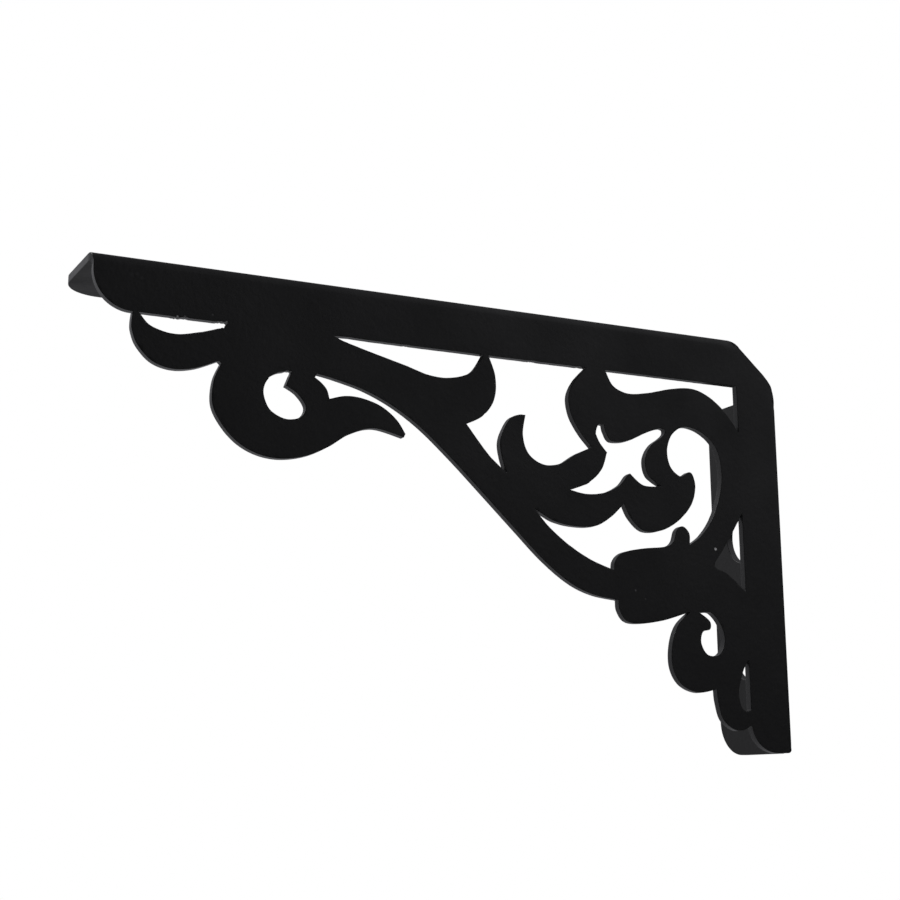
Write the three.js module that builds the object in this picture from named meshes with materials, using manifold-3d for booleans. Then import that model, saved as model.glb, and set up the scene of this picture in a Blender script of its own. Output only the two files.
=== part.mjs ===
// Shelf bracket: one steel plate with scrollwork cut through it, folded back along its top and its wall side.
// Millimetres, +Z up. The wall flange's outer face is the plane X = 0 and the bracket reaches out along -X.
// The plate's front face looks along -Y and both flanges run back along +Y.
import * as THREE from "three";
import { mergeVertices } from "three/addons/utils/BufferGeometryUtils.js";
import Module from "manifold-3d";

// Overall
const armLength = 305;
const armHeight = 178.7;
const plateThickness = 3.2;
const shelfFlangeWidth = 46.2;
const wallFlangeWidth = 48.2;
const bendRadius = 3.8;

// Plain bands left along the two folds, and how they end
const shelfBandWidth = 21.35;
const wallBandWidth = 21.8;
const tipRadius = 15;
const footRadius = 12.7;
const cornerCutLength = 23.6;
const cornerCutDrop = 21.7;
const cornerEaseAbove = 5;
const cornerEaseBeside = 10;

// Flanges
const flangeCornerRadius = 15;
const shelfFlangeOverhang = 1.6;
const holeDiameter = 25;
const wallHoleSpacing = 52;
const lowerHoleFromFoot = 44.3;
const shelfHoleSpacing = 160;
const outerHoleFromTip = 60;

// Height of the scrollwork's lowest point, the lobe beside the foot, above the foot
const lobeAboveFoot = 9.4;

const stepsPerPoint = 5;
const stepsPerQuarter = 12;
const foldLap = 1;
const clearance = 5;
const weldDistance = 1e-4;
const quarterTurn = Math.PI / 2;
const footArcStart = 2.1 * quarterTurn;

// The scrollwork's drawing, in millimetres across from the tip end and down from the shelf plane.
// Each run is a smooth curve through its points, and it meets the next run in a corner.

// Lower edge, from the tip's rounding to the foot of the wall band.
const lowerEdge = [
  // left leaf
  [[14.9, 26], [17.2, 33.7], [22.7, 39.2], [30.4, 41.3], [39, 40.1], [48.1, 36.3]],
  [[49, 37.1]],
  // big scroll and the underside of its tail
  [
    [46.2, 44], [45.9, 53], [49.8, 60.4], [56.1, 66.6], [64, 70.3], [73, 71.3],
    [83, 69.4], [92, 65.2], [101, 59.3], [111.1, 56.2], [123.6, 58.6],
  ],
  [[124.3, 57.2]],
  // top of the tail and the slit beside it
  [[120.5, 51.8], [114, 47.3], [106, 44.9], [99, 44.8], [92.4, 46.4]],
  [[91.3, 42.8], [88.7, 40.1], [84.2, 37.4]],
  // underside of the long stem
  [
    [95, 38.5], [107.2, 41.5], [119.4, 46.8], [131.3, 54.4], [144.1, 65.2], [158, 78.1],
    [172, 91.3], [185, 103.3], [197.2, 111.9], [208, 116.1], [219.5, 117.7],
  ],
  // block
  [[219.9, 121.8], [223, 126], [229, 126.9], [241, 125.2], [254.4, 121.1]],
  // small scroll
  [[248, 127], [244.8, 135.5], [244.8, 144.5], [249, 151.3], [257, 154.3], [266.2, 152.8]],
  // lobe beside the foot
  [[266.7, 158.1], [268.9, 165.2], [274.4, 169.2], [279.3, 169.3], [282.5, 167.6]],
];

// Openings. Each starts at its first point and closes on itself.
const underBandLeft = [
  [[17.4, 21.35]],
  [[22, 25.9], [31, 27.9], [41, 26], [50.2, 23]],
  [[51.2, 21.35]],
];

const bigScrollEye = [
  [[76.9, 37.1]],
  [[74.6, 43]],
  [
    [79.5, 45.9], [82.7, 50.6], [80.5, 54.7], [74.5, 55.8], [68.3, 52.7],
    [65.6, 46.5], [67, 41.6], [71.2, 38.4], [76.9, 37.1],
  ],
];

const longWedge = [
  [[93.4, 21.35]],
  [[96, 22.8]],
  [[110.1, 26], [124.2, 29.5], [135.1, 32.4], [144.9, 32.3], [153.4, 28.6], [159, 21.35]],
];

const leafOpening = [
  [[161.3, 21.35]],
  [[207.2, 21.35]],
  [[201.3, 27.7], [198.2, 34.5], [199.3, 42.2], [203.5, 49.3], [208.8, 55.1]],
  [[201.2, 58.6], [193.6, 63.2], [185.6, 64.1], [179, 60.3], [176.5, 53], [177.8, 44.4]],
  [[174.5, 44.6], [170.1, 47.2], [166.1, 55.6], [166.7, 63], [168.9, 69]],
  [[160.8, 62.3], [151, 50.6]],
  [[158.5, 46.6], [163.6, 39.4], [164.3, 30], [161.3, 21.35]],
];

const underBandRight = [
  [[216.3, 21.35]],
  [[283.2, 21.35]],
  [[283.2, 42.2]],
  [
    [280.2, 37.8], [274.3, 31.6], [266.9, 26.9], [259.2, 24.9], [249, 26.3],
    [237, 29.4], [227.1, 30.3], [220, 27.7], [216.3, 21.35],
  ],
];

const starOpening = [
  [[210.7, 49.2]],
  [[211.2, 46.8], [212.6, 44.9], [214.9, 44.9]],
  [[215.7, 48], [218.5, 51.6], [226.1, 50.9], [235, 46.8], [239.6, 44.9], [243.2, 43.9], [245, 44.3]],
  [[244.9, 46], [242.6, 48.2], [237.6, 52], [234.6, 58], [236, 64.8], [242.3, 68.7]],
  [[233.5, 68.9], [227, 64.6]],
  [[225.5, 65.7], [221.7, 70], [214.5, 73.6], [206, 74.8], [198.2, 73.7]],
  [[206.5, 70], [213.1, 64.3], [216.1, 56.6]],
  [[212.8, 52.9], [210.7, 49.2]],
];

const hookAndSweep = [
  [[181.2, 82.5]],
  // crescent
  [[190, 87], [200, 88.6], [209.7, 87.8], [217.3, 83.5], [223.6, 77.6]],
  // lobe, hook and the inner side of the arch
  [
    [226.7, 83.5], [232.9, 88.4], [241.6, 87.7], [250.1, 83.2], [256.7, 76], [259.2, 68.5], [258.6, 63.2],
    [256.5, 61.7], [252, 63.8], [247.1, 59.7], [246, 52.5], [249.1, 45.6], [255.7, 42.1], [264.4, 44.2],
    [271.1, 50.4], [273.3, 60], [272.1, 69.6], [267.8, 80.6], [261.8, 88.4], [255.6, 92.8],
  ],
  // knob and the top of the block
  [
    [255.5, 88], [252.5, 85.2], [249.3, 86.9], [247.2, 92.1], [243, 94.4],
    [232, 95.8], [222.4, 98], [218.5, 101.5], [217.8, 105.4],
  ],
  // top of the long stem
  [[207, 101.8], [196.3, 96], [187.3, 89.1], [181.2, 82.5]],
];

const besideArch = [
  [[283.2, 77.5]],
  [[277.9, 86], [272.3, 94], [267.5, 99.7], [268.3, 102], [274.5, 104.2], [283.2, 111.3]],
];

const commaHole = [
  [[259.4, 121.3]],
  [
    [265.1, 121.2], [269.8, 126.3], [271.3, 132.5], [268.5, 138.4], [262.5, 138.9],
    [259.5, 134], [260.4, 129.3], [264.2, 127.9], [264.1, 124.5], [259.4, 121.3],
  ],
];

const besideLobe = [
  [[283.2, 140]],
  [[280.3, 144.5], [277.5, 153], [278.3, 159.2], [280.9, 161.6], [283.2, 161]],
];

const openings = [
  underBandLeft,
  bigScrollEye,
  longWedge,
  leafOpening,
  underBandRight,
  starOpening,
  hookAndSweep,
  besideArch,
  commaHole,
  besideLobe,
];

const wasm = await Module();
wasm.setup();

// Working frame while the bracket is built: the tip end is X = 0, the wall plane X = armLength,
// the plate's front Y = 0 and the shelf plane Z = 0.
const xAxis = new THREE.Vector3(1, 0, 0);
const yAxis = new THREE.Vector3(0, 1, 0);
const zAxis = new THREE.Vector3(0, 0, 1);

function solidOf(geometry) {
  const bare = geometry.clone();
  bare.deleteAttribute("normal");
  bare.deleteAttribute("uv");
  const merged = mergeVertices(bare, weldDistance);
  return new wasm.Manifold(
    new wasm.Mesh({
      numProp: 3,
      vertProperties: merged.attributes.position.array,
      triVerts: new Uint32Array(merged.index.array),
    }),
  );
}

function geometryOf(solid) {
  const { vertProperties, triVerts } = solid.getMesh();
  const geometry = new THREE.BufferGeometry();
  geometry.setAttribute("position", new THREE.BufferAttribute(vertProperties, 3));
  geometry.setIndex(new THREE.BufferAttribute(triVerts, 1));
  return geometry;
}

// An extruded shape laid on two axes; it grows from `corner` along the third one.
function slab(shape, depth, across, up, corner) {
  const geometry = new THREE.ExtrudeGeometry(shape, {
    depth,
    bevelEnabled: false,
    curveSegments: stepsPerQuarter,
  });
  const along = new THREE.Vector3().crossVectors(across, up);
  geometry.applyMatrix4(new THREE.Matrix4().makeBasis(across, up, along));
  geometry.translate(...corner);
  return solidOf(geometry);
}

function block(from, to) {
  const size = to.map((value, axis) => value - from[axis]);
  const geometry = new THREE.BoxGeometry(...size);
  geometry.translate(...from.map((value, axis) => value + size[axis] / 2));
  return solidOf(geometry);
}

// The drawing is stretched to fill the plate between the tip end and the wall band,
// and from the shelf band down to the lobe.
const drawnPoints = [lowerEdge, ...openings].flat(2);
const drawnReach = Math.max(...drawnPoints.map(([across]) => across));
const drawnTop = Math.min(...drawnPoints.map(([, down]) => down));
const drawnFoot = Math.max(...drawnPoints.map(([, down]) => down));
const stretchAcross = (armLength - wallBandWidth) / drawnReach;
const stretchDown = (armHeight - shelfBandWidth - lobeAboveFoot) / (drawnFoot - drawnTop);

// A drawn point on the plate: across from the tip, and up from the shelf plane.
function placed([across, down]) {
  return new THREE.Vector2(across * stretchAcross, (drawnTop - down) * stretchDown - shelfBandWidth);
}

// Draws the runs on from where the path stands: one point is a straight line, several a smooth curve.
function follow(path, runs) {
  for (const run of runs) {
    const through = [path.currentPoint.clone(), ...run.map(placed)];
    const steps = run.length === 1 ? 1 : run.length * stepsPerPoint;
    for (const point of new THREE.SplineCurve(through).getPoints(steps).slice(1)) {
      path.lineTo(point.x, point.y);
    }
  }
}

function cutThrough([[first], ...runs]) {
  const shape = new THREE.Shape();
  const start = placed(first);
  shape.moveTo(start.x, start.y);
  follow(shape, runs);
  const depth = plateThickness + 2 * clearance;
  return slab(shape, depth, xAxis, zAxis, [0, depth - clearance, 0]);
}

function arcTo(path, centreX, centreY, radius, from, to) {
  for (let step = 1; step <= stepsPerQuarter; step += 1) {
    const angle = from + ((to - from) * step) / stepsPerQuarter;
    path.lineTo(centreX + radius * Math.cos(angle), centreY + radius * Math.sin(angle));
  }
}

// The flat plate inside both folds, with its scrollwork cut through.
function scrollPlate() {
  const shape = new THREE.Shape();
  const wallBandEdge = armLength - wallBandWidth;
  const rightEdge = armLength - bendRadius;
  shape.moveTo(rightEdge, -bendRadius);
  shape.lineTo(0, -bendRadius);
  shape.lineTo(0, tipRadius - shelfBandWidth);
  arcTo(shape, tipRadius, tipRadius - shelfBandWidth, tipRadius, 2 * quarterTurn, 3 * quarterTurn);
  follow(shape, lowerEdge);
  arcTo(shape, wallBandEdge + footRadius, footRadius - armHeight, footRadius, footArcStart, 3 * quarterTurn);
  shape.lineTo(rightEdge, -armHeight);
  const plate = slab(shape, plateThickness, xAxis, zAxis, [0, plateThickness, 0]);
  return openings.map(cutThrough).reduce((cut, opening) => cut.subtract(opening), plate);
}

// Section of a fold: a flange and the bend that carries it, measured back from the plate's front face
// and inwards from the flange's outer face.
function foldSection(flangeWidth) {
  const shape = new THREE.Shape();
  const innerRadius = bendRadius - plateThickness;
  shape.moveTo(0, bendRadius + foldLap);
  shape.lineTo(0, bendRadius);
  arcTo(shape, bendRadius, bendRadius, bendRadius, 2 * quarterTurn, 3 * quarterTurn);
  shape.lineTo(flangeWidth, 0);
  shape.lineTo(flangeWidth, plateThickness);
  shape.lineTo(bendRadius, plateThickness);
  arcTo(shape, bendRadius, bendRadius, innerRadius, 3 * quarterTurn, 2 * quarterTurn);
  shape.lineTo(plateThickness, bendRadius + foldLap);
  return shape;
}

function shelfFold() {
  const section = foldSection(shelfFlangeWidth);
  const length = armLength + shelfFlangeOverhang;
  const fold = slab(section, length, yAxis, zAxis.clone().negate(), [armLength, 0, 0]);
  const besideBend = block(
    [-shelfFlangeOverhang - clearance, -clearance, -bendRadius - foldLap - clearance],
    [0, bendRadius, clearance],
  );
  return fold.subtract(besideBend);
}

function wallFold() {
  const section = foldSection(wallFlangeWidth);
  return slab(section, armHeight, yAxis, xAxis.clone().negate(), [armLength, 0, -armHeight]);
}

// The slanted corner with eased ends, cut through plate and bends,
// and the square ends of both flanges behind it.
function cornerCut() {
  const cutLength = Math.hypot(cornerCutLength, cornerCutDrop);
  const across = cornerCutLength / cutLength;
  const down = cornerCutDrop / cutLength;
  const topX = armLength - cornerCutLength;
  const slant = new THREE.Shape();
  slant.moveTo(topX - cornerEaseAbove, clearance);
  slant.lineTo(topX - cornerEaseAbove, 0);
  slant.quadraticCurveTo(topX, 0, topX + cornerEaseAbove * across, -cornerEaseAbove * down);
  slant.lineTo(armLength - cornerEaseBeside * across, cornerEaseBeside * down - cornerCutDrop);
  slant.quadraticCurveTo(armLength, -cornerCutDrop, armLength, -cornerCutDrop - cornerEaseBeside);
  slant.lineTo(armLength + clearance, -cornerCutDrop - cornerEaseBeside);
  slant.lineTo(armLength + clearance, clearance);
  const throughBend = slab(slant, bendRadius + clearance, xAxis, zAxis, [0, bendRadius, 0]);
  const behindBend = block(
    [topX, bendRadius, -cornerCutDrop],
    [armLength + clearance, wallFlangeWidth + clearance, clearance],
  );
  return throughBend.add(behindBend);
}

// What a rounded corner takes off a square one; it lies in the +across, +up quarter from `corner`.
function cornerWaste(across, up, corner) {
  const shape = new THREE.Shape();
  const radius = flangeCornerRadius;
  shape.moveTo(radius, 0);
  shape.lineTo(radius, -clearance);
  shape.lineTo(-clearance, -clearance);
  shape.lineTo(-clearance, radius);
  shape.lineTo(0, radius);
  arcTo(shape, radius, radius, radius, 2 * quarterTurn, 3 * quarterTurn);
  return slab(shape, plateThickness + 2 * clearance, across, up, corner);
}

const holeLine = (plateThickness + shelfFlangeWidth) / 2;
const lowerHoleZ = lowerHoleFromFoot - armHeight;

function roundHole(centre, axis) {
  const geometry = new THREE.CylinderGeometry(
    holeDiameter / 2,
    holeDiameter / 2,
    plateThickness + 2 * clearance,
    4 * stepsPerQuarter,
  );
  geometry.applyQuaternion(new THREE.Quaternion().setFromUnitVectors(yAxis, axis));
  geometry.translate(...centre);
  return solidOf(geometry);
}

function flangeHoles() {
  const wallHoles = [0, 1].map((place) =>
    roundHole([armLength, holeLine, lowerHoleZ + place * wallHoleSpacing], xAxis),
  );
  const shelfHoles = [0, 1].map((place) =>
    roundHole([outerHoleFromTip + place * shelfHoleSpacing, holeLine, 0], zAxis),
  );
  return [...wallHoles, ...shelfHoles].reduce((all, hole) => all.add(hole));
}

function bracketSolid() {
  const towardsFront = yAxis.clone().negate();
  const tipBack = [-shelfFlangeOverhang, shelfFlangeWidth, -plateThickness - clearance];
  const footBack = [armLength + clearance, wallFlangeWidth, -armHeight];
  return scrollPlate()
    .add(shelfFold())
    .add(wallFold())
    .subtract(cornerCut())
    .subtract(cornerWaste(towardsFront, xAxis, tipBack))
    .subtract(cornerWaste(towardsFront, zAxis, footBack))
    .subtract(flangeHoles());
}

function blackPaint() {
  return new THREE.MeshStandardMaterial({
    name: "black_paint",
    color: 0x1b1b1d,
    roughness: 0.5,
    metalness: 0,
  });
}

const originZ = lowerHoleZ + wallHoleSpacing / 2;
const geometry = geometryOf(bracketSolid());
geometry.translate(-armLength, -holeLine, -originZ);
geometry.computeVertexNormals();

const bracket = new THREE.Mesh(geometry, blackPaint());
bracket.name = "scroll_bracket";

const part = new THREE.Group();
part.name = "shelf_bracket";
part.add(bracket);

export default part;
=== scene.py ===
import math

import bpy
import numpy as np
from mathutils import Matrix, Vector, noise
from mathutils.geometry import delaunay_2d_cdt


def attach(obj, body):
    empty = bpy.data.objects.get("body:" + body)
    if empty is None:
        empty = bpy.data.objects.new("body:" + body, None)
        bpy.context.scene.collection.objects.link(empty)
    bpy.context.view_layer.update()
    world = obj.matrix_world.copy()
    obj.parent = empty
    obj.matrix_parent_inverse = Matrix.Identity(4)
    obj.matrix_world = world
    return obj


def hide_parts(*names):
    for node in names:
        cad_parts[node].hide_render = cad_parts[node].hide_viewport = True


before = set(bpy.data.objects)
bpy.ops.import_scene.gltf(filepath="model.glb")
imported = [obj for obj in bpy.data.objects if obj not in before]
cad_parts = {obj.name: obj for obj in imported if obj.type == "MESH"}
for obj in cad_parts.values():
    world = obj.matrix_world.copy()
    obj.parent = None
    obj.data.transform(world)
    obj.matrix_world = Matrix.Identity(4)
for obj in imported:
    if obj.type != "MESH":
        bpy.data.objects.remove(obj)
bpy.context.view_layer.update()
print("packed bracket loaded")

mm = 0.001

# bracket plate
# All in millimetres. The flat blank is drawn across from the tip end and up from the shelf plane,
# then rolled over its two bends.
plate = {
    "armLength": 305.0,
    "armHeight": 178.7,
    "thickness": 3.2,
    "shelfFlange": 46.2,
    "wallFlange": 48.2,
    "bendRadius": 3.8,
    "shelfBand": 21.35,
    "wallBand": 21.8,
    "tipRadius": 15.0,
    "footRadius": 12.7,
    "flangeCorner": 15.0,
    "overhang": 1.6,      # shelf flange's end past the plate's tip
    "shelfFlangeEnd": 281.4,  # its wall end, across from the tip end
    "wallFlangeTop": 21.7,    # down from the shelf plane
    "holeRadius": 12.5,
    "holeLine": 24.7,     # hole centres behind the plate's front face
    "wallHoles": (82.4, 134.4),   # down from the shelf plane
    "shelfHoles": (60.0, 220.0),  # across from the tip end
    "edgeRound": 0.22,    # softening of the cut edges under the paint
    "edgeSteps": 3,
    "leastRound": 0.04,   # softening left at a sharp point of metal
    "roundShare": 0.6,    # how much of the room beside such a point the softening takes
    "pointReach": 6,      # outline points on either side that this touches
    "curveSteps": 24,     # points between two given ones, before they are evened out
    "arcPoints": 15,
    "outlineStep": 0.6,
    "faceGrid": 4.0,
    "besideBend": 2.0,    # first grid row on either side of a bend
    "bendRows": 8,
    "ripple": 0.05,       # how far the cut wanders
    "rippleScales": (0.35, 1.3),
    "nickScale": 1.9,
    "keptCorner": 0.6,    # the cut doesn't wander where it turns by more than this, in radians
    "sharpCorner": 0.7,   # metal that turns by more than this is a sharp point
    "mitreLimit": 1.6,
    "origin": (305.0, 24.7, -108.4),  # the wall flange's outer face, between its holes
}

# Scrollwork, in millimetres across from the tip end and down from the shelf plane. Each run is a smooth
# curve through its points, and a new run starts at a corner.
lowerEdge = [
    # left leaf
    [(14.6, 25), (14.9, 28.5), (17.1, 33.7), (22.7, 39.2), (30.4, 41.3), (39, 40.1), (48.1, 36.3)],
    [(49, 37.1)],
    # big scroll and the underside of its tail
    [(46.2, 44), (45.9, 53), (49.8, 60.4), (56.1, 66.6), (64, 70.3), (73, 71.3),
     (83, 69.4), (92, 65.2), (101, 59.3), (111.1, 56.2), (123.6, 58.6)],
    [(124.3, 57.2)],
    # top of the tail and the slit beside it
    [(120.5, 51.8), (114, 47.1), (106, 44.7), (99, 44.5), (92.4, 46.3)],
    [(91.3, 42.8), (89, 40.3), (86.4, 38.5)],
    [(87.2, 37)],
    # underside of the long stem
    [(95, 38.4), (107.2, 41.5), (119.4, 46.8), (131.3, 54.4), (144.1, 65.2), (158, 78.1),
     (172, 91.3), (185, 103.3), (197.2, 111.9), (208, 116.1), (219.5, 117.7)],
    # block
    [(219.9, 121.8), (223, 126), (229, 126.9), (241, 125.2), (254.4, 121.1)],
    # small scroll
    [(248, 127), (244.8, 135.5), (244.8, 144.5), (249, 151.3), (257, 154.3), (266.2, 152.8)],
    # lobe beside the foot
    [(266.7, 158.1), (268.9, 165.2), (274.4, 169.2), (279.3, 169.3), (282.5, 167.6)],
]

openings = {
    "underBandLeft": [
        [(17.4, 21.35)],
        [(22, 25.9), (31, 27.9), (41, 26), (50.2, 23)],
        [(51.2, 21.35)],
    ],
    "bigScrollEye": [
        [(76.9, 37.1)],
        [(74.6, 43)],
        [(79.5, 45.9), (82.7, 50.6), (80.5, 54.7), (74.5, 55.8), (68.3, 52.7),
         (65.8, 46.5), (67.2, 41.7), (71.2, 38.4), (76.9, 37.1)],
    ],
    "longWedge": [
        [(94, 21.2)],
        [(98, 22.8)],
        [(110.1, 26), (124.2, 29.5), (135.1, 32.4), (144.9, 32.3), (153.8, 28.8), (159, 21.35)],
        [(110, 21.2)],
        [(101, 20.95)],
    ],
    "leafOpening": [
        [(161.3, 21.35)],
        [(207.2, 21.35)],
        [(201.3, 27.7), (198.2, 34.5), (199.3, 42.2), (203.5, 49.3), (208.8, 55.1)],
        [(201.2, 58.6), (193.6, 63.2), (185.6, 64.1), (179, 60.3), (176.5, 53), (177.8, 44.4)],
        [(174.5, 44.6), (170.1, 47.2), (166.1, 55.6), (166.7, 63), (168.9, 69)],
        [(160.8, 62.3), (151, 50.6)],
        [(158.5, 46.6), (163.6, 39.4), (164.3, 30), (161.3, 21.35)],
    ],
    "underBandRight": [
        [(216.3, 21.35)],
        [(283.2, 21.35)],
        [(283.2, 42.2)],
        [(280.2, 37.8), (274.3, 31.6), (266.9, 26.9), (259.2, 24.9), (249, 26.1),
         (237, 29.1), (227.1, 30.3), (220, 27.7), (216.3, 21.35)],
    ],
    "starOpening": [
        [(210.9, 49.2)],
        [(211.4, 46.9), (212.6, 44.9), (214.9, 44.9)],
        [(215.7, 48), (218.5, 51.6), (226.1, 50.9), (235, 46.8), (239.6, 44.9), (243.2, 43.9), (245, 44.3)],
        [(244.9, 46), (242.6, 48.2), (237.6, 52), (234.6, 58), (236, 64.8), (242.3, 68.9)],
        [(233.5, 69.1), (227, 64.6)],
        [(225.5, 65.7), (221.7, 70), (214.5, 73.6), (206, 74.8), (198.2, 73.7)],
        [(206.6, 70.2), (213.1, 64.3), (216.1, 56.6)],
        [(212.8, 52.9), (210.9, 49.2)],
    ],
    "hookAndSweep": [
        [(181.2, 82.5)],
        # crescent
        [(190, 87), (200, 88.6), (209.7, 87.8), (217.3, 83.5), (223.6, 77.6)],
        # lobe, hook and the inner side of the arch
        [(226.7, 83.5), (232.9, 88.4), (241.6, 87.7), (250.1, 83.2), (256.9, 76.1), (259.5, 68.6),
         (258.6, 63.2), (256.5, 61.7), (252, 63.8), (247.1, 59.7), (246, 52.5), (249.1, 45.6),
         (255.7, 42.1), (264.4, 44.2), (271.1, 50.4), (273.3, 60), (272.1, 69.6), (267.8, 80.6),
         (261.8, 88.4), (255.6, 92.8)],
        # knob and the top of the block
        [(255.5, 88), (252.5, 85.2), (249.3, 86.9), (247.2, 92.1), (243, 94.4),
         (232, 95.8), (222.4, 98), (218.5, 101.5), (217.8, 105.4)],
        # top of the long stem
        [(207, 101.8), (196.3, 96), (187.3, 89.1), (181.2, 82.5)],
    ],
    "besideArch": [
        [(283.2, 77.5)],
        [(277.9, 86), (272.4, 94), (268.2, 99.7), (268.9, 102), (274.5, 104.2), (283.2, 111.3)],
    ],
    "commaHole": [
        [(259.4, 121.3)],
        [(265.1, 121.2), (269.8, 126.3), (271.3, 132.5), (268.5, 138.2), (262.6, 138.6),
         (259.5, 134), (260.4, 129.3), (264.2, 127.9), (264.1, 124.5), (259.4, 121.3)],
    ],
    "besideLobe": [
        [(283.2, 140)],
        [(280.3, 144.5), (277.5, 153), (278.3, 159.2), (280.9, 161.6), (283.2, 161)],
    ],
}

# Ragged spots in the cut: across, down, how far they reach along the edge, how deep they bite. A burr
# bites less than nothing.
nicks = [
    (31.8, 21.35, 2.2, -0.45),
    (34.8, 21.35, 1.6, 0.3),
    (49.6, 21.6, 3.2, 0.5),
    (125.5, 21.35, 1.6, 0.3),
    (182.0, 21.35, 2.4, 0.3),
    (205.0, 21.35, 1.8, 0.35),
    (75.3, 37.2, 1.8, 0.4),
    (69.0, 39.9, 2.0, 0.35),
    (206.3, 70.2, 1.8, -0.4),
    (158.7, 46.0, 1.5, 0.2),
]

bendLength = (plate["bendRadius"] - plate["thickness"] / 2) * math.pi / 2  # along the middle of the plate
shelfBend = -plate["bendRadius"]
wallBend = plate["armLength"] - plate["bendRadius"]
shelfEnd = shelfBend + bendLength + plate["shelfFlange"] - plate["bendRadius"]
wallEnd = wallBend + bendLength + plate["wallFlange"] - plate["bendRadius"]


def smoothRun(start, run):
    # uniform Catmull-Rom through start and the run's points
    points = np.array([start] + list(run), float)
    ends = np.vstack([points[0], points, points[-1]])
    t = np.linspace(0, 1, plate["curveSteps"], endpoint=False)[:, None]
    made = []
    for p0, p1, p2, p3 in zip(ends, ends[1:], ends[2:], ends[3:]):
        v0, v1 = (p2 - p0) / 2, (p3 - p1) / 2
        cubic, square = 2 * p1 - 2 * p2 + v0 + v1, 3 * p2 - 3 * p1 - 2 * v0 - v1
        made.append(cubic * t**3 + square * t**2 + v0 * t + p1)
    return np.vstack(made + [points[-1:]])


def evenSteps(points, step):
    # the same line, walked in even steps
    lengths = np.hypot(*np.diff(points, axis=0).T)
    along = np.concatenate([[0], np.cumsum(lengths)])
    count = max(1, round(along[-1] / step))
    at = np.linspace(0, along[-1], count + 1)
    return np.column_stack([np.interp(at, along, points[:, k]) for k in (0, 1)])


def drawLoop(start, runs):
    # a closed loop of runs in blank coordinates, without its last point
    loop, at = [], start
    for run in runs:
        line = np.array([at, run[0]], float) if len(run) == 1 else smoothRun(at, run)
        line = evenSteps(line, plate["outlineStep"])
        loop.append(line[:-1])
        at = tuple(line[-1])
    return np.vstack(loop)


def arc(centre, radius, fromDegrees, toDegrees):
    angles = np.radians(np.linspace(fromDegrees, toDegrees, plate["arcPoints"]))
    return [(centre[0] + radius * math.cos(a), centre[1] + radius * math.sin(a)) for a in angles]


def up(run):
    # the drawing measures down, the blank measures up
    return [(across, -down) for across, down in run]


def blankOutline():
    p = plate
    height = -p["armHeight"]
    bandFoot = p["armLength"] - p["wallBand"] + p["footRadius"]
    pastBend = wallBend + bendLength
    top = -p["wallFlangeTop"]
    end = p["shelfFlangeEnd"]
    runs = [
        [(0, p["tipRadius"] - p["shelfBand"])],
        arc((p["tipRadius"], p["tipRadius"] - p["shelfBand"]), p["tipRadius"], 180, 270)[1:],
        *[up(run) for run in lowerEdge],
        arc((bandFoot, height + p["footRadius"]), p["footRadius"], 189, 270),
        [(wallBend, height)],
        # foot of the bend, rounded off
        [(wallBend + 0.6, height + 0.1), (wallBend + 1.4, height + 0.6), (wallBend + 2.4, height + 1.4),
         (pastBend, height + 1.5), (pastBend + 1.5, height + 0.6), (pastBend + 4, height)],
        [(wallEnd - p["flangeCorner"], height)],
        arc((wallEnd - p["flangeCorner"], height + p["flangeCorner"]), p["flangeCorner"], 270, 360)[1:],
        [(wallEnd, top)],
        [(pastBend + 9, top)],
        # slanted corner, its ends eased over the bends
        [(pastBend + 6.5, top - 0.7), (pastBend + 4, top - 2.9), (pastBend + 2, top - 5.5),
         (pastBend, top - 6.7), (wallBend + 2.4, top - 5), (wallBend + 1.2, top - 0.8),
         (wallBend, top + 3.3), (wallBend - 3.25, top + 7.05)],
        [(end + 4, shelfBend + 0.3)],
        [(end + 2.4, shelfBend + 1.3), (end + 0.9, shelfBend + 2.1), (end - 0.2, shelfBend + 2.8),
         (end - 0.7, shelfBend + 3.6), (end - 0.7, shelfBend + 4.6), (end - 0.4, shelfBend + 5.8),
         (end, shelfBend + 7.2)],
        [(end, shelfEnd)],
        [(p["flangeCorner"] - p["overhang"], shelfEnd)],
        arc((p["flangeCorner"] - p["overhang"], shelfEnd - p["flangeCorner"]),
            p["flangeCorner"], 90, 180)[1:],
        # the flange's end runs in to meet the plate's tip
        [(-1.0, shelfBend + 4.4)],
        [(-0.9, shelfBend + 3.3), (-0.7, shelfBend + 2.1), (-0.4, shelfBend + 1), (0, shelfBend)],
    ]
    return drawLoop((0, shelfBend), runs)


def openingLoop(runs):
    (first,), *rest = [up(run) for run in runs]
    if rest[-1][-1] != first:
        rest.append([first])
    loop = drawLoop(first, rest)
    x, y = loop.T
    area = np.dot(x, np.roll(y, -1)) - np.dot(y, np.roll(x, -1))
    return loop[::-1] if area > 0 else loop


def holeLoop(across, high):
    count = round(2 * math.pi * plate["holeRadius"] / plate["outlineStep"])
    turn = -np.arange(count) * 2 * math.pi / count
    ring = np.column_stack([np.cos(turn), np.sin(turn)])
    return ring * plate["holeRadius"] + (across, high)


def intoMetal(loop):
    # direction into the metal at each point, with a limited mitre, and the turn there
    before = loop - np.roll(loop, 1, axis=0)
    after = np.roll(loop, -1, axis=0) - loop
    a = np.arctan2(before[:, 1], before[:, 0])
    turn = (np.arctan2(after[:, 1], after[:, 0]) - a + math.pi) % (2 * math.pi) - math.pi
    middle = a + turn / 2 + math.pi / 2
    reach = 1 / np.maximum(np.cos(turn / 2), 1 / plate["mitreLimit"])
    return np.column_stack([np.cos(middle), np.sin(middle)]) * reach[:, None], turn


def waver(x, y, scale, layer):
    return noise.noise((x * scale, y * scale, layer))


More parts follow.
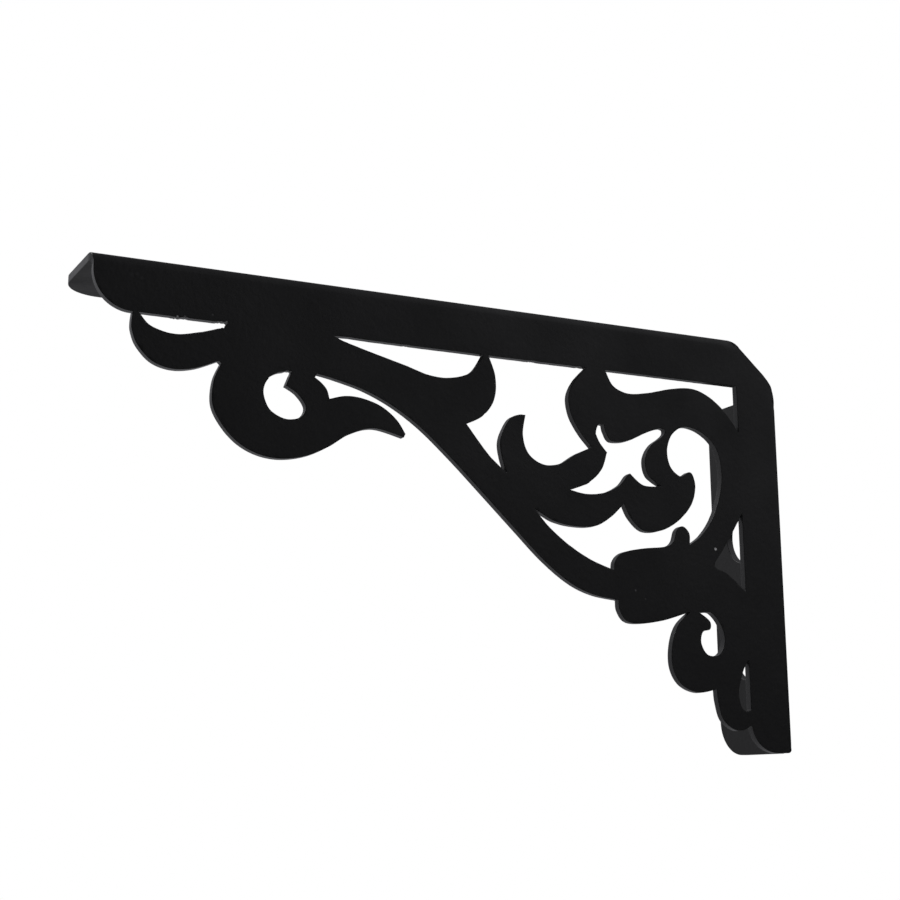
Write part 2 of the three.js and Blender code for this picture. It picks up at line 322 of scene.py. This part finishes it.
def roughCut(loop):
    # the cut wanders a little and is ragged at the nicks
    broad, fine = plate["rippleScales"]
    inwards, turn = intoMetal(loop)
    moved = loop.copy()
    for i, (x, y) in enumerate(loop):
        push = plate["ripple"] * (waver(x, y, broad, 3.0) + 0.5 * waver(x, y, fine, 8.0))
        for across, down, reach, depth in nicks:
            near = 1 - math.hypot(x - across, y + down) / reach
            if near > 0:
                push += depth * min(1, 2 * near) * (0.45 + waver(x, y, plate["nickScale"], 5.0))
        if abs(turn[i]) < plate["keptCorner"]:
            moved[i] += inwards[i] * push
    return moved


def edgeInset(loop):
    # how far the soft edge reaches in, less towards a sharp point of metal
    inwards, turn = intoMetal(loop)
    count = len(loop)
    inset = np.full(count, plate["edgeRound"])
    for corner in np.nonzero(turn > plate["sharpCorner"])[0]:
        half = (math.pi - turn[corner]) / 2
        for side in (-1, 1):
            walked = 0.0
            for k in range(plate["pointReach"]):
                i = (corner + side * k) % count
                room = plate["roundShare"] * walked * math.tan(half)
                inset[i] = min(inset[i], plate["leastRound"] + room)
                j = (i + side) % count
                walked += math.hypot(*(loop[j] - loop[i]))
    return inwards * inset[:, None]


def insideMetal(points, loops):
    # which points lie in the outline and in no opening
    inside = np.zeros(len(points), bool)
    x, y = points[:, :1], points[:, 1:]
    for loop in loops:
        a, b = loop, np.roll(loop, -1, axis=0)
        crosses = (a[:, 1] > y) != (b[:, 1] > y)
        rise = np.where(b[:, 1] == a[:, 1], 1, b[:, 1] - a[:, 1])
        onLeft = x < a[:, 0] + (y - a[:, 1]) * (b[:, 0] - a[:, 0]) / rise
        inside ^= (crosses & onLeft).sum(axis=1) % 2 == 1
    return inside


def facePoints(loops):
    # a grid over the face, closer across the bends so that they roll smoothly
    grid, gap = plate["faceGrid"], plate["besideBend"]
    bend = np.linspace(0, bendLength, plate["bendRows"] + 1)
    high = np.concatenate([np.arange(shelfBend - gap, -plate["armHeight"], -grid), shelfBend + bend,
                           np.arange(shelfBend + bendLength + gap, shelfEnd, grid)])
    across = np.concatenate([np.arange(wallBend - gap, -plate["overhang"], -grid), wallBend + bend,
                             np.arange(wallBend + bendLength + gap, wallEnd, grid)])
    points = np.array([(x, y) for x in across for y in high])
    points = points[insideMetal(points, loops)]
    # none so near the cut that its triangles would be slivers
    edge = np.vstack(loops)
    room = np.array([np.min(np.hypot(*(edge - point).T)) for point in points])
    return points[room > 0.75 * plate["outlineStep"] + plate["edgeRound"]]


def rollOver(flat, depth):
    # one point of the blank, at a depth behind its front face, after folding. None lies past both bends.
    x, high = flat
    radius = plate["bendRadius"]
    for past in (high - shelfBend, x - wallBend):
        if past <= 0:
            continue
        if past < bendLength:
            angle = past / bendLength * math.pi / 2
            back = radius - (radius - depth) * math.cos(angle)
            out = (radius - depth) * math.sin(angle) - radius
        else:
            back, out = radius + past - bendLength, -depth
        return (x, back, out) if past == high - shelfBend else (plate["armLength"] + out, back, high)
    return x, depth, high


def foldedPlate():
    # holes lie this far past the start of each bend on the blank
    holeAt = plate["holeLine"] - plate["bendRadius"] + bendLength
    loops = [blankOutline()]
    loops += [roughCut(openingLoop(runs)) for runs in openings.values()]
    loops += [holeLoop(wallBend + holeAt, -down) for down in plate["wallHoles"]]
    loops += [holeLoop(across, shelfBend + holeAt) for across in plate["shelfHoles"]]

    # down the cut side: how much of the soft edge's inset is left, and the depth
    thick, soft, steps = plate["thickness"], plate["edgeRound"], plate["edgeSteps"]
    levels = [(1 - math.sin(a), soft * (1 - math.cos(a))) for a in np.linspace(0, math.pi / 2, steps + 1)]
    levels += [(share, thick - depth) for share, depth in reversed(levels)]

    edge = np.vstack(loops)
    inset = np.vstack([edgeInset(loop) for loop in loops])
    inner = facePoints(loops)
    following, base = [], 0
    for loop in loops:
        following += [base + (i + 1) % len(loop) for i in range(len(loop))]
        base += len(loop)

    # the front face between the soft edges, in triangles
    face = np.vstack([edge + inset, inner])
    spread, _, triangles, origins, _, _ = delaunay_2d_cdt(
        [Vector(point) for point in face], list(enumerate(following)), [], 1, 1e-6)
    corners = face[[[origins[i][0] for i in triangle] for triangle in triangles]]
    ends = np.cumsum([len(loop) for loop in loops])[:-1]
    metal = insideMetal(corners.mean(axis=1), np.split(edge + inset, ends))
    print("face points", len(face), "after triangulation", len(spread), "triangles", metal.sum())

    # the outline's points level by level, then the grid's points in front and behind
    points, cutSide = [], []
    for share, depth in levels:
        points += [rollOver(flat, depth) for flat in edge + inset * share]
        cutSide += [0.0 if share == 1 else 1.0] * base
    for depth in (0, thick):
        points += [rollOver(flat, depth) for flat in inner]
        cutSide += [0.0] * len(inner)

    faces = []
    for level in range(len(levels) - 1):
        low, high = level * base, (level + 1) * base
        faces += [(low + i, high + i, high + j, low + j) for i, j in enumerate(following)]
    lastLevel = (len(levels) - 1) * base
    frontInner = len(levels) * base - base
    backInner = len(levels) * base + len(inner) - base
    for triangle, kept in zip(triangles, metal):
        if not kept:
            continue
        ring = [origins[i][0] for i in triangle]
        faces.append([i if i < base else i + frontInner for i in ring])
        faces.append([i + lastLevel if i < base else i + backInner for i in reversed(ring)])
    return points, faces, cutSide


def makePlate():
    points, faces, cutSide = foldedPlate()
    ox, oy, oz = plate["origin"]
    mesh = bpy.data.meshes.new("scroll_plate")
    mesh.from_pydata([((x - ox) * mm, (y - oy) * mm, (z - oz) * mm) for x, y, z in points], [], faces)
    mesh.attributes.new("cutSide", "FLOAT", "POINT").data.foreach_set("value", cutSide)
    mesh.validate()
    mesh.update()
    mesh.shade_smooth()
    piece = bpy.data.objects.new("scroll_plate", mesh)
    bpy.context.collection.objects.link(piece)
    even = piece.modifiers.new("flat faces stay flat", "WEIGHTED_NORMAL")
    even.weight = 80
    print("plate has", len(mesh.polygons), "faces")
    return piece


# paint
paint = {
    "colour": (0.0035, 0.0035, 0.0038, 1),
    "cutCoatAndSheen": (0.013, 0.013, 0.0135, 1),  # a thinner coat on the cut sides, and painted sheen: made lighter to stand in for their brighter reflection
    "markColour": (0.55, 0.55, 0.56, 1),     # bare flecks and dust
    "roughness": 0.48,
    "roughnessSwing": 0.08,
    "cutRoughness": -0.22,     # added on the cut sides, which are smoother
    "cloudScale": 28,
    "cloudRange": (0.3, 0.7),  # the part of the noise that shows
    "cloudTones": (0.8, 1.2),  # darkest and lightest
    "grainScale": 900,
    "grainShare": 0.35,        # its height beside the orange peel's
    "peelScale": 420,
    "dustScale": 150,
    "dustDot": (0.055, 0.02),  # rim and middle, in shares of a cell
    "dustPicked": 0.86,        # cells below this have no dot
    "dustStrength": 0.05,
    "markHeight": 2.0,
    "bumpStrength": 0.8,
    "bumpDepth": 0.0001,
    "specks": [  # across, down and radius in millimetres, strength
        (268.5, 93.9, 0.75, 1.0),
        (227.8, 113.4, 0.5, 0.12),
        (232.5, 116.7, 0.4, 0.08),
        (31.8, 21.2, 0.5, 0.35),
        (34.6, 20.9, 0.45, 0.2),
        (45.2, 19.0, 0.5, 0.06),
        (50.7, 21.0, 0.5, 0.25),
        (14.2, 7.4, 1.1, 0.012),
        (16.2, 7.0, 1.0, 0.012),
        (18.0, 8.3, 0.9, 0.01),
    ],
}


class Nodes:
    # shorthand for adding and joining shader nodes
    def __init__(self, tree):
        self.tree = tree

    def add(self, kind, inputs=(), **settings):
        node = self.tree.nodes.new(kind)
        for name, value in settings.items():
            setattr(node, name, value)
        for key, value in dict(inputs).items():
            if isinstance(value, bpy.types.NodeSocket):
                self.tree.links.new(value, node.inputs[key])
            else:
                node.inputs[key].default_value = value
        return node

    def noise(self, place, scale, detail):
        inputs = {"Vector": place, "Scale": scale, "Detail": detail, "Roughness": 0.55}
        return self.add("ShaderNodeTexNoise", inputs).outputs["Fac"]

    def ramp(self, value, start, end, low=0.0, high=1.0):
        inputs = {"Value": value, "From Min": start, "From Max": end, "To Min": low, "To Max": high}
        return self.add("ShaderNodeMapRange", inputs).outputs["Result"]

    def combine(self, operation, *values):
        return self.add("ShaderNodeMath", dict(enumerate(values)), operation=operation).outputs[0]

    def mixed(self, share, first, second, blend="MIX"):
        # sockets 6 and 7 of this node are its two colours
        inputs = {"Factor": share, 6: first, 7: second}
        return self.add("ShaderNodeMix", inputs, data_type="RGBA", blend_type=blend).outputs[2]


def singleSpecks(nodes, place):
    # flecks at their own places on the front face
    ox, oy, oz = plate["origin"]
    specks = None
    for across, down, radius, strength in paint["specks"]:
        spot = ((across - ox) * mm, -oy * mm, (-down - oz) * mm)
        far = nodes.add("ShaderNodeVectorMath", {0: place, 1: spot}, operation="DISTANCE").outputs["Value"]
        mark = nodes.ramp(far, radius * mm, radius * mm * 0.5, 0.0, strength)
        specks = mark if specks is None else nodes.combine("MAXIMUM", specks, mark)
    return specks


def sparseDust(nodes, place):
    # a few of the cells carry a small dot
    cells = nodes.add("ShaderNodeTexVoronoi", {"Vector": place, "Scale": paint["dustScale"]})
    near = nodes.ramp(cells.outputs["Distance"], *paint["dustDot"])
    chosen = nodes.add("ShaderNodeSeparateColor", {"Color": cells.outputs["Color"]}).outputs["Red"]
    strength = nodes.ramp(chosen, paint["dustPicked"], 1.0, 0.0, paint["dustStrength"])
    return nodes.combine("MULTIPLY", near, strength)


def blackPaint():
    material = bpy.data.materials.new("satin black paint")
    material.use_nodes = True
    nodes = Nodes(material.node_tree)
    shader = material.node_tree.nodes["Principled BSDF"]
    place = nodes.add("ShaderNodeTexCoord").outputs["Object"]
    cutSide = nodes.add("ShaderNodeAttribute", attribute_name="cutSide").outputs["Fac"]

    # clouding in the coat, a few centimetres across, its orange peel and its fine grain
    cloud = nodes.noise(place, paint["cloudScale"], 4)
    peel = nodes.noise(place, paint["peelScale"], 2)
    grain = nodes.noise(place, paint["grainScale"], 3)
    marks = nodes.combine("MAXIMUM", singleSpecks(nodes, place), sparseDust(nodes, place))

    # the cut sides' lighter colour is partly a thinner coat and partly painted sheen for their brighter
    # reflection
    coatAndEdgeSheen = nodes.mixed(cutSide, paint["colour"], paint["cutCoatAndSheen"])
    tones = nodes.ramp(cloud, *paint["cloudRange"], *paint["cloudTones"])
    clouded = nodes.mixed(1.0, coatAndEdgeSheen, tones, "MULTIPLY")
    spotted = nodes.mixed(marks, clouded, paint["markColour"])
    nodes.tree.links.new(spotted, shader.inputs["Base Color"])

    base, swing = paint["roughness"], paint["roughnessSwing"]
    faceRoughness = nodes.ramp(cloud, *paint["cloudRange"], base - swing, base + swing)
    roughness = nodes.combine("MULTIPLY_ADD", cutSide, paint["cutRoughness"], faceRoughness)
    nodes.tree.links.new(roughness, shader.inputs["Roughness"])

    height = nodes.combine("MULTIPLY_ADD", grain, paint["grainShare"], peel)
    raised = nodes.combine("MULTIPLY_ADD", marks, paint["markHeight"], height)
    relief = {"Height": raised, "Strength": paint["bumpStrength"], "Distance": paint["bumpDepth"]}
    bump = nodes.add("ShaderNodeBump", relief)
    nodes.tree.links.new(bump.outputs["Normal"], shader.inputs["Normal"])
    shader.inputs["IOR"].default_value = 1.5
    return material


bracket = makePlate()
bracket.data.materials.append(blackPaint())
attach(bracket, "root")
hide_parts("scroll_bracket")
print("plate painted")

# floor
floorSetup = {
    "height": -0.62,
    "size": 5.0,
    "colour": (0.86, 0.86, 0.85, 1),
    "roughness": 0.9,
    "glow": 0.5,  # lifts it to a pale grey in the dim studio
}


def makeFloor():
    half = floorSetup["size"] / 2
    z = floorSetup["height"]
    mesh = bpy.data.meshes.new("floor")
    corners = [(-half, -half, z), (half, -half, z), (half, half, z), (-half, half, z)]
    mesh.from_pydata(corners, [], [(0, 1, 2, 3)])
    floor = bpy.data.objects.new("floor", mesh)
    bpy.context.collection.objects.link(floor)
    material = bpy.data.materials.new("pale floor")
    material.use_nodes = True
    shader = material.node_tree.nodes["Principled BSDF"]
    shader.inputs["Base Color"].default_value = floorSetup["colour"]
    shader.inputs["Roughness"].default_value = floorSetup["roughness"]
    shader.inputs["Emission Color"].default_value = floorSetup["colour"]
    shader.inputs["Emission Strength"].default_value = floorSetup["glow"]
    mesh.materials.append(material)
    floor.visible_glossy = False  # keeps the paint's undersides dark


makeFloor()

# light
light = {
    "backdrop": 1.0,  # how bright the camera sees the room behind the bracket
    "room": 0.02,     # dim studio all round
    "roomColour": (0.98, 0.98, 1.03, 1),
    # wide bright panels of the room: towards, cosines of the angle at their edge and middle, how bright
    "panels": [
        ((-0.15, 0.95, 0.06), 0.2, 1.0, 0.39),
        ((0.51, -0.73, 0.4), 0.86, 1.0, 0.4),
        ((0.7, -0.2, 0.7), 0.75, 1.0, 0.45),
    ],
    "softboxes": [  # place, aim, width, height, watts
        ((-1.2, 0.8, 1.6), (-0.15, 0, -0.3), 1.2, 1.2, 16.0),
    ],
}


def makeWorld():
    world = bpy.data.worlds.new("studio")
    bpy.context.scene.world = world
    world.use_nodes = True
    nodes = Nodes(world.node_tree)
    world.node_tree.nodes.clear()
    direction = nodes.add("ShaderNodeTexCoord").outputs["Generated"]
    room = light["room"]
    for towards, edge, middle, strength in light["panels"]:
        aim = Vector(towards).normalized()
        turned = nodes.add("ShaderNodeVectorMath", {0: direction, 1: aim}, operation="DOT_PRODUCT")
        room = nodes.combine("ADD", room, nodes.ramp(turned.outputs["Value"], edge, middle, 0.0, strength))
    lit = nodes.add("ShaderNodeBackground", {"Color": light["roomColour"], "Strength": room}).outputs[0]
    white = {"Color": (1, 1, 1, 1), "Strength": light["backdrop"]}
    seen = nodes.add("ShaderNodeBackground", white).outputs[0]
    camera = nodes.add("ShaderNodeLightPath").outputs["Is Camera Ray"]
    both = nodes.add("ShaderNodeMixShader", {0: camera, 1: lit, 2: seen}).outputs[0]
    nodes.add("ShaderNodeOutputWorld", {"Surface": both})


def makeSoftboxes():
    for count, (place, aim, width, height, watts) in enumerate(light["softboxes"]):
        lamp = bpy.data.lights.new(f"softbox{count}", "AREA")
        lamp.shape = "RECTANGLE"
        lamp.size = width
        lamp.size_y = height
        lamp.energy = watts
        box = bpy.data.objects.new(lamp.name, lamp)
        box.location = place
        box.rotation_euler = (Vector(aim) - Vector(place)).to_track_quat("-Z", "Y").to_euler()
        box.visible_camera = False
        bpy.context.collection.objects.link(box)


makeWorld()
makeSoftboxes()
print("studio lit")

# camera
shot = {
    "place": (-0.43835, -0.58275, -0.08590),
    "yaw": 0.4605,
    "pitch": 0.2094,
    "roll": -0.0084,
    "lens": 64.731,
    "sensor": 36,
}


def makeCamera():
    yaw, pitch, roll = shot["yaw"], shot["pitch"], shot["roll"]
    forward = Vector((math.sin(yaw) * math.cos(pitch), math.cos(yaw) * math.cos(pitch), math.sin(pitch)))
    level = Vector((math.cos(yaw), -math.sin(yaw), 0))
    down = -level.cross(forward)
    right = math.cos(roll) * level - math.sin(roll) * down
    top = -(math.sin(roll) * level + math.cos(roll) * down)
    camera = bpy.data.objects.new("camera", bpy.data.cameras.new("camera"))
    camera.data.lens = shot["lens"]
    camera.data.sensor_width = shot["sensor"]
    turn = Matrix((right, top, -forward)).transposed().to_4x4()
    camera.matrix_world = Matrix.Translation(shot["place"]) @ turn
    bpy.context.collection.objects.link(camera)
    bpy.context.scene.camera = camera


makeCamera()
bpy.context.scene.view_settings.view_transform = "Standard"
print("camera set")
